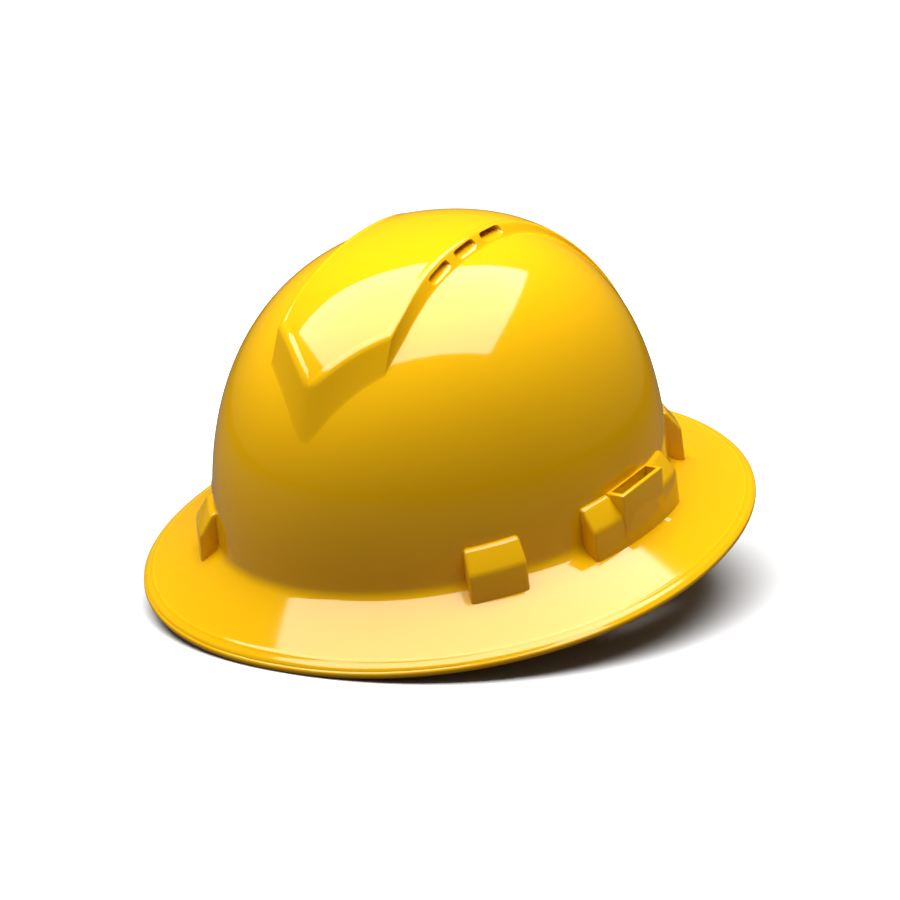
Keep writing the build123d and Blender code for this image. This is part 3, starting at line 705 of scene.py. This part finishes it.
def lug(name, turn, length, side):
    """One lug, swept along the foot's curve about a turn."""
    step = 1e-4
    x0, y0 = foot_point(turn)
    x1, y1 = foot_point(turn + step)
    pace = hypot(x1 - x0, y1 - y0) / step
    rows = []
    for share in np.linspace(-0.5, 0.5, lug_row_count):
        here = turn + (share * length) / pace
        row = []
        for reach_share, height_share in lug_profile_shares:
            height = height_share * (lug_top if height_share > 0 else lug_foot)
            row.append((*foot_point(here, reach_share * lug_reach), height))
        rows.append(row + row[:1])
    points = np.array(rows) * np.array([side, 1, 1])
    piece = close_ends(sheet_from(name, moved(stand, points)))
    apply_modifier(piece, "BEVEL", width=lug_edge_round, segments=lug_round_steps, limit_method="ANGLE",
                   angle_limit=lug_sharp_angle)
    smooth_by_angle(piece)
    piece.data.materials.append(shell_yellow)
    return piece


def lug_place(rear):
    """The frame of a left key lug: outward, along the foot and up."""
    turn = normal_turn(lug_angle, rear)
    out = radians(90 - lug_angle) * (1 if rear else -1)
    return Matrix.Translation((*foot_point(turn), 0)) @ Matrix.Rotation(out, 4, "Z")


def block(name, low, high, side, round_width, place):
    """A block between two corners of a lug's frame, on one side of the hat, with rounded edges."""
    deselect()
    low, high = Vector(low), Vector(high)
    bpy.ops.mesh.primitive_cube_add(size=1, location=(low + high) / 2, scale=high - low)
    piece = bpy.context.object
    piece.name = name
    bpy.ops.object.transform_apply(location=True, rotation=True, scale=True)
    if round_width:
        apply_modifier(piece, "BEVEL", width=round_width, segments=block_round_steps, limit_method="NONE")
    piece.data.transform(place)
    piece.data.transform(Matrix.Diagonal((side, 1, 1, 1)))
    piece.data.transform(stand)
    return seal(piece, fine_weld_reach)


side_turn = atan2((side_lug_middle - dome_widest_back) / dome_front_reach, 1)
lug_places = (
    ("front", normal_turn(lug_angle, False), lug_width),
    ("rear", normal_turn(lug_angle, True), lug_width),
    ("side", side_turn, side_lug_length),
)
lugs = {}
for hand, side in hands:
    for spot, turn, length in lug_places:
        lugs[spot, hand] = lug(f"{spot}_lug_{hand}", turn, length, side)

pocket_low = (pocket_start, -pocket_width / 2, cut_bottom)
pocket_high = (pocket_start + pocket_depth, pocket_width / 2, pocket_top)
for hand, side in hands:
    for spot, rear in (("front", False), ("rear", True)):
        pocket = block("key_pocket", pocket_low, pocket_high, side, 0, lug_place(rear))
        cut_out(pocket, (lugs[spot, hand], shell_body))

# The accessory slots
# In each side lug a flat-faced box rises out of the sloped top. A slot 31 mm long and almost 6 mm wide runs
# down through it and the brim, and takes the blade of an ear muff. The wall left outside it is thin.

slot_box_length = 0.0355
slot_box_reach = 0.0078
slot_box_top = 0.0223
slot_box_root = 0.0015
slot_box_foot_share = 0.8
slot_box_round = 0.0007
slot_middle_forward = 0.007
slot_length = 0.031
slot_start = 0.0003
slot_end = 0.006
slot_round = 0.0004
cut_top = 0.05

slot_turn = atan2((-slot_middle_forward - dome_widest_back) / dome_front_reach, 1)
slot_x, slot_y = foot_point(slot_turn)
slot_normal = atan2((slot_y - dome_widest_back) / dome_front_reach ** 2, slot_x / dome_half_width ** 2)
slot_place = Matrix.Translation((slot_x, slot_y, 0)) @ Matrix.Rotation(slot_normal, 4, "Z")
box_low = (-slot_box_root, -slot_box_length / 2, -lug_foot * slot_box_foot_share)
box_high = (slot_box_reach, slot_box_length / 2, slot_box_top)
slot_low = (slot_start, -slot_length / 2, cut_bottom)
slot_high = (slot_end, slot_length / 2, cut_top)
for hand, side in hands:
    box = block(f"slot_box_{hand}", box_low, box_high, side, slot_box_round, slot_place)
    slot_room = block("slot_room", slot_low, slot_high, side, slot_round, slot_place)
    cut_out(slot_room, (box, lugs["side", hand], shell_body))
    smooth_by_angle(box)
    box.data.materials.append(shell_yellow)
    lugs["box", hand] = box

for piece in [shell_body, crown_panel, *lugs.values()]:
    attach(piece, "shell")
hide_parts("hat_shell")

# The suspension's plastic parts
# Headband, keys, nape straps, studs and ratchet are moulded in a dark, faintly grained plastic, the knob in a
# rougher one and the detent spring in a pale one. Their shapes are the frame's own; only a finish is added.

suspension_plastic = moulded_plastic("suspension_plastic", (0.040, 0.040, 0.044), roughness=0.38, change=0.12,
                                     wave_scale=60.0, grain_scale=1500.0, relief=0.00003)
knob_plastic = moulded_plastic("knob_plastic", (0.070, 0.070, 0.074), roughness=0.50, change=0.15,
                               wave_scale=80.0, grain_scale=1200.0, relief=0.00006)
spring_plastic = moulded_plastic("spring_plastic", (0.62, 0.62, 0.58), roughness=0.35, change=0.08,
                                 wave_scale=90.0, grain_scale=1500.0, relief=0.00002)
dark_nodes = ("headband", "key_front_left", "key_front_right", "key_rear_left", "key_rear_right",
              "nape_strap_left", "nape_strap_right", "strap_stud_left", "strap_stud_right",
              "ratchet_base", "ratchet_cover", "pinion")


def finish_node(name, material):
    """Gives a carried node one material."""
    node = frame["nodes"][name]
    node.data.materials.clear()
    node.data.materials.append(material)


for name in dark_nodes:
    finish_node(name, suspension_plastic)
finish_node("adjuster_knob", knob_plastic)
finish_node("detent_spring", spring_plastic)

# The knob's screw
# A zinc-plated steel screw holds the knob on the pinion. Its plating is fine-grained, duller in some spots
# than in others. Its shape is the frame's own.

steel_colour = (0.62, 0.62, 0.63)
steel_roughness = 0.28
steel_grain_scale = 2500.0
steel_brightest_roughness = 0.20
steel_dullest_roughness = 0.42

screw_steel, steel_tree, steel_shader = new_material("screw_steel", steel_colour, steel_roughness)
steel_shader.inputs["Metallic"].default_value = 1.0
steel_place = steel_tree.nodes.new("ShaderNodeTexCoord")
steel_grain = steel_tree.nodes.new("ShaderNodeTexNoise")
steel_grain.inputs["Scale"].default_value = steel_grain_scale
steel_range = steel_tree.nodes.new("ShaderNodeMapRange")
steel_range.inputs["To Min"].default_value = steel_brightest_roughness
steel_range.inputs["To Max"].default_value = steel_dullest_roughness
steel_tree.links.new(steel_place.outputs["Object"], steel_grain.inputs["Vector"])
steel_tree.links.new(steel_grain.outputs["Fac"], steel_range.inputs["Value"])
steel_tree.links.new(steel_range.outputs["Result"], steel_shader.inputs["Roughness"])
finish_node("knob_screw", screw_steel)

# The crown webbing
# Two straps of woven polyester webbing, 20 mm wide, cross over the head, one on the other. Each end passes
# under a key's bar, folds back inside and is held by two rows of stitches.

band_gap = 0.0168
band_wall = 0.0012
band_outside = dome_half_width - shell_wall - band_gap + band_wall
band_bend_middle = 0.016
key_gap = 0.0002
key_plate = 0.0025
strap_width = 0.020
strap_thickness = 0.0012
strap_arch_low = 0.0274
strap_crown = 0.0894
strap_crossing_drop = 0.0014
ply_gap = 0.00015
fold_start_angle = 0.36
fold_end_angle = 0.06
fold_steps = 8
arch_start_angle = 0.05
arch_steps = 34
path_pace = 0.0011
easing_rounds = 6

# Each place of the loop round a bar is an outward distance from the bar and a height.
loop_path = (
    (-0.0029, 0.0272), (-0.0051, 0.0226), (-0.0056, 0.0190), (-0.0046, 0.0163), (-0.0022, 0.0152),
    (0.0, 0.0152),
    (0.0022, 0.0152), (0.0046, 0.0163), (0.0056, 0.0190), (0.0050, 0.0226), (0.0030, 0.0262),
)
section_steps = 12
selvedge_start = 0.44
selvedge_width = 0.06
selvedge_swell = 0.12
selvedge_lead = 0.2
selvedge_thinning = 0.55
stitch_heights = (0.0335, 0.0455)
stitch_depth_shares = (-0.52, 1.62)
stitch_count = 7
stitch_pitch = 0.0025
stitch_half_sizes = (0.0010, 0.00028, 0.00028)
stitch_segments = 8
stitch_rings = 6


def bar_place(rear):
    """The middle of a left key's bar, in the worn frame."""
    x, y = foot_point(normal_turn(lug_angle, rear))
    out = radians(90 - lug_angle) * (1 if rear else -1)
    middle = band_bend_middle if rear else -band_bend_middle
    reach = (middle - y) * sin(out) - x * cos(out) + band_outside + key_gap + key_plate / 2
    return Vector((x + reach * cos(out), y + reach * sin(out), 0))


def arch_point(span, rise, angle, inside=0.0):
    """A point of the strap's arch, or of the ply that lies that far inside it."""
    x, z = span * cos(angle), rise * sin(angle)
    slope = Vector((x / span ** 2, z / rise ** 2)).normalized()
    return x - slope.x * inside, strap_arch_low + z - slope.y * inside


def strap_path(span, rise):
    """The strap's middle line: folded ply, loop, arch, loop and folded ply."""
    fold_angles = np.linspace(fold_start_angle, fold_end_angle, fold_steps)
    fold = [arch_point(span, rise, angle, strap_thickness + ply_gap) for angle in fold_angles]
    loop = [(span + out, height) for out, height in loop_path]
    arch = [arch_point(span, rise, angle) for angle in np.linspace(arch_start_angle, pi / 2, arch_steps)]
    half = fold + loop + arch
    return half + [(-x, z) for x, z in half[-2::-1]]


def even_points(path):
    """The path with its corners eased and its points an even distance apart."""
    points = np.array(path)
    for _ in range(easing_rounds):
        steps = np.hypot(*np.diff(points, axis=0).T)
        along = np.concatenate([[0], np.cumsum(steps)])
        marks = np.linspace(0, along[-1], int(along[-1] / path_pace))
        points = np.stack([np.interp(marks, along, points[:, axis]) for axis in (0, 1)], axis=1)
        points[1:-1] = points[1:-1] / 2 + (points[:-2] + points[2:]) / 4
    return points


def web_section():
    """The webbing's section: flat faces and thick, round selvedges."""
    places = []
    for side in (1, -1):
        for across in np.linspace(-0.5, 0.5, section_steps) * side:
            edge = max(0.0, (abs(across) - selvedge_start) / selvedge_width)
            swell = 1 + selvedge_swell * sin(pi * min(1, edge + selvedge_lead))
            thick = swell * (1 - edge ** 3 * selvedge_thinning)
            places.append((across, side * thick / 2))
    return places + places[:1]


def strap_axes(hand):
    """The strap's middle, its running direction, the direction across it and its half span."""
    front, rear = bar_place(False), bar_place(True)
    rear.x = -rear.x
    run = front - rear
    middle = (front + rear) / 2
    if hand < 0:
        middle.x, run.x = -middle.x, -run.x
    half_span = run.length / 2
    run.normalize()
    return middle, run, Vector((0, 0, 1)).cross(run), half_span


def crown_strap(name, hand, crown):
    """One strap, swept along its path, with its weave laid out along and across it."""
    middle, run, aside, span = strap_axes(hand)
    path = even_points(strap_path(span, crown - strap_arch_low))
    ways = np.gradient(path, axis=0)
    ways /= np.hypot(*ways.T)[:, None]
    rows, flat, length = [], [], 0.0
    for index, (point, way) in enumerate(zip(path, ways)):
        length += 0 if index == 0 else float(np.hypot(*(point - path[index - 1])))
        row = []
        for across, thick in web_section():
            out = Vector((-way[1], way[0])) * thick * strap_thickness
            place = middle + run * (point[0] + out.x) + aside * across * strap_width
            row.append((place.x, place.y, point[1] + out.y))
            flat.append((across * strap_width, length))
        rows.append(row)
    strip = sheet_from(name, moved(stand, np.array(rows)))
    layer = strip.data.uv_layers.active
    columns = len(rows[0])
    grid = np.empty(len(strip.data.loops) * 2)
    layer.data.foreach_get("uv", grid)
    grid = grid.reshape(-1, 2)
    column = np.rint(grid[:, 0] * (columns - 1)).astype(int)
    row = np.rint(grid[:, 1] * (len(rows) - 1)).astype(int)
    layer.data.foreach_set("uv", np.array(flat)[row * columns + column].ravel())
    close_ends(strip)
    smooth_by_angle(strip)
    return strip


def stitch_rows(name, hand, crown):
    """The stitches that hold the folded plies, on both faces of both ends."""
    middle, run, aside, span = strap_axes(hand)
    rise = crown - strap_arch_low
    threads = []
    for end in (1, -1):
        for height in stitch_heights:
            angle = np.arcsin((height - strap_arch_low) / rise)
            for depth_share in stitch_depth_shares:
                x, z = arch_point(span, rise, angle, depth_share * strap_thickness)
                for number in range(stitch_count):
                    across = (number - (stitch_count - 1) / 2) * stitch_pitch
                    place = middle + run * x * end + aside * across
                    place.z = z
                    bpy.ops.mesh.primitive_uv_sphere_add(segments=stitch_segments, ring_count=stitch_rings,
                                                         radius=1)
                    thread = bpy.context.object
                    lie = Matrix.Translation(place) @ Matrix.Rotation(atan2(aside.y, aside.x), 4, "Z")
                    thread.data.transform(stand @ lie @ Matrix.Diagonal((*stitch_half_sizes, 1)))
                    threads.append(thread)
    return seal(joined(threads, name), least_edge)


cloth_roughness = 0.82
thread_wander = 0.4
fluff_scale = 1800.0
fluff_height_share = 0.4
# The cloth's colour is darkened in the valleys between threads as painted shade, and lightened on their
# crests as painted light.
valley_painted_shade_share = 0.55
crest_painted_light_share = 1.25

# A wave pattern at a scale of 1 has a band every 0.314 m.
wave_band = 0.314


def woven(name, colour, across, along, relief, fuzz):
    """A woven cloth: threads over and under each other on the UV map, with painted shade between them,
    painted light on their crests and a random fuzz tone, slightly fuzzy.
    """
    material, tree, shader = new_material(name, colour, cloth_roughness)
    shader.inputs["Sheen Weight"].default_value = fuzz
    place = tree.nodes.new("ShaderNodeUVMap")
    waves = []
    for direction, pitch in (("X", across), ("Y", along)):
        wave = tree.nodes.new("ShaderNodeTexWave")
        wave.bands_direction = direction
        wave.inputs["Scale"].default_value = wave_band / pitch
        wave.inputs["Distortion"].default_value = thread_wander
        tree.links.new(place.outputs["UV"], wave.inputs["Vector"])
        waves.append(wave)
    thread = tree.nodes.new("ShaderNodeMath")
    thread.operation = "MULTIPLY"
    tree.links.new(waves[0].outputs["Fac"], thread.inputs[0])
    tree.links.new(waves[1].outputs["Fac"], thread.inputs[1])
    fluff = tree.nodes.new("ShaderNodeTexNoise")
    fluff.inputs["Scale"].default_value = fluff_scale
    spot = tree.nodes.new("ShaderNodeTexCoord")
    tree.links.new(spot.outputs["Object"], fluff.inputs["Vector"])
    height = tree.nodes.new("ShaderNodeMath")
    height.operation = "MULTIPLY_ADD"
    height.inputs[1].default_value = fluff_height_share
    tree.links.new(fluff.outputs["Fac"], height.inputs[0])
    tree.links.new(thread.outputs[0], height.inputs[2])
    bump = tree.nodes.new("ShaderNodeBump")
    bump.inputs["Distance"].default_value = relief
    tree.links.new(height.outputs[0], bump.inputs["Height"])
    tree.links.new(bump.outputs["Normal"], shader.inputs["Normal"])
    # Painted shade in the valleys between threads and painted light on their crests, with the fuzz noise's
    # random tone mixed in.
    shade = tree.nodes.new("ShaderNodeMix")
    shade.data_type = "RGBA"
    shade.inputs["A"].default_value = (*[part * valley_painted_shade_share for part in colour], 1)
    shade.inputs["B"].default_value = (*[part * crest_painted_light_share for part in colour], 1)
    tree.links.new(height.outputs[0], shade.inputs["Factor"])
    tree.links.new(shade.outputs["Result"], shader.inputs["Base Color"])
    return material


webbing = woven("webbing", (0.10, 0.10, 0.11), across=0.0009, along=0.0012, relief=0.00018, fuzz=0.25)
thread_finish = moulded_plastic("stitch_thread", (0.20, 0.20, 0.21), roughness=0.6, change=0.1,
                                wave_scale=400.0, grain_scale=3000.0, relief=0.00003)
for name, node, hand, crown in (("upper", "crown_strap_upper", 1, strap_crown),
                                ("lower", "crown_strap_lower", -1, strap_crown - strap_crossing_drop)):
    strap = crown_strap(f"webbing_{name}", hand, crown)
    strap.data.materials.append(webbing)
    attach(strap, "cradle")
    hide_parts(node)
    stitches = stitch_rows(f"webbing_stitches_{name}", hand, crown)
    stitches.data.materials.append(thread_finish)
    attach(stitches, "cradle")

# The pads
# The brow pad and the nape pad are thin foam in a soft, fine cloth. Each is sewn through in upright channels,
# so that it swells between them, and its edge is pressed flat and rounded.

nape_height = -0.0502
nape_pad_below = 0.012
nape_pad_above = 0.016
pad_row_count = 260
pad_mark_count = 26
end_start = 0.94
end_length = 0.06
end_set_back = 0.3
end_narrowing = 0.30
channel_depth = 0.62
channel_width = 0.0017
edge_start = 0.80
edge_length = 0.20
hem_start = 0.965
hem_length = 0.035
pressed_share = 0.30
foam_share = 0.70


def round_off(share):
    """A height that falls from 1 to 0 as the share rises from 0 to 1, slowly at first and then steeply."""
    return (1 - share ** 3) ** 0.5


def pad(name, outer, thick, half_turn, low, high, middle_y, facing, channels):
    """One pad, bent round the head: its thickness swells from the edges and dips along the channels."""
    rows = []
    middle_z, half_z = (low + high) / 2, (high - low) / 2
    down_marks, up_marks = np.linspace(-1, 1, pad_mark_count), np.linspace(1, -1, pad_mark_count)
    for share in np.linspace(-1, 1, pad_row_count):
        end = within_one((abs(share) - end_start) / end_length)
        length_swell = round_off(end)
        channel = min(abs(share - mark) for mark in channels) * half_turn * outer
        dip = 1 - channel_depth * np.exp(-(channel / channel_width) ** 2)
        angle = half_turn * share
        row = []
        for inner_face, marks in ((True, down_marks), (False, up_marks)):
            for mark in marks:
                edge = within_one((abs(mark) - edge_start) / edge_length)
                swell = pressed_share + foam_share * (1 - edge ** 2) * dip
                swell *= round_off(within_one((abs(mark) - hem_start) / hem_length))
                swollen = swell * length_swell if inner_face else 0
                radius = outer - thick * (end_set_back * (1 - length_swell) + swollen)
                height = middle_z + half_z * mark * (1 - end_narrowing * end ** 2)
                row.append((radius * sin(angle), middle_y + facing * radius * cos(angle), height))
        rows.append(row + row[:1])
    piece = sheet_from(name, moved(stand, np.array(rows)))
    flat = piece.data.uv_layers.active
    layout = np.empty(len(piece.data.loops) * 2)
    flat.data.foreach_get("uv", layout)
    layout = layout.reshape(-1, 2) * np.array([2 * (high - low), 2 * half_turn * outer])
    flat.data.foreach_set("uv", layout.ravel())
    return seal(piece, fine_weld_reach)


pad_fabric = woven("pad_fabric", (0.13, 0.13, 0.14), across=0.0006, along=0.0006, relief=0.00010, fuzz=0.6)
brow = pad("brow_cushion", outer=0.0817, thick=0.0040, half_turn=radians(68), low=-0.019, high=0.013,
           middle_y=-band_bend_middle, facing=-1, channels=np.linspace(-0.875, 0.875, 8))
nape = pad("nape_cushion", outer=0.0760, thick=0.0044, half_turn=radians(26),
           low=nape_height - nape_pad_below, high=nape_height + nape_pad_above,
           middle_y=band_bend_middle, facing=1, channels=np.linspace(-0.66, 0.66, 3))
for cushion, node, body in ((brow, "brow_pad", "cradle"), (nape, "nape_pad", "ratchet")):
    cushion.data.materials.append(pad_fabric)
    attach(cushion, body)
    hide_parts(node)
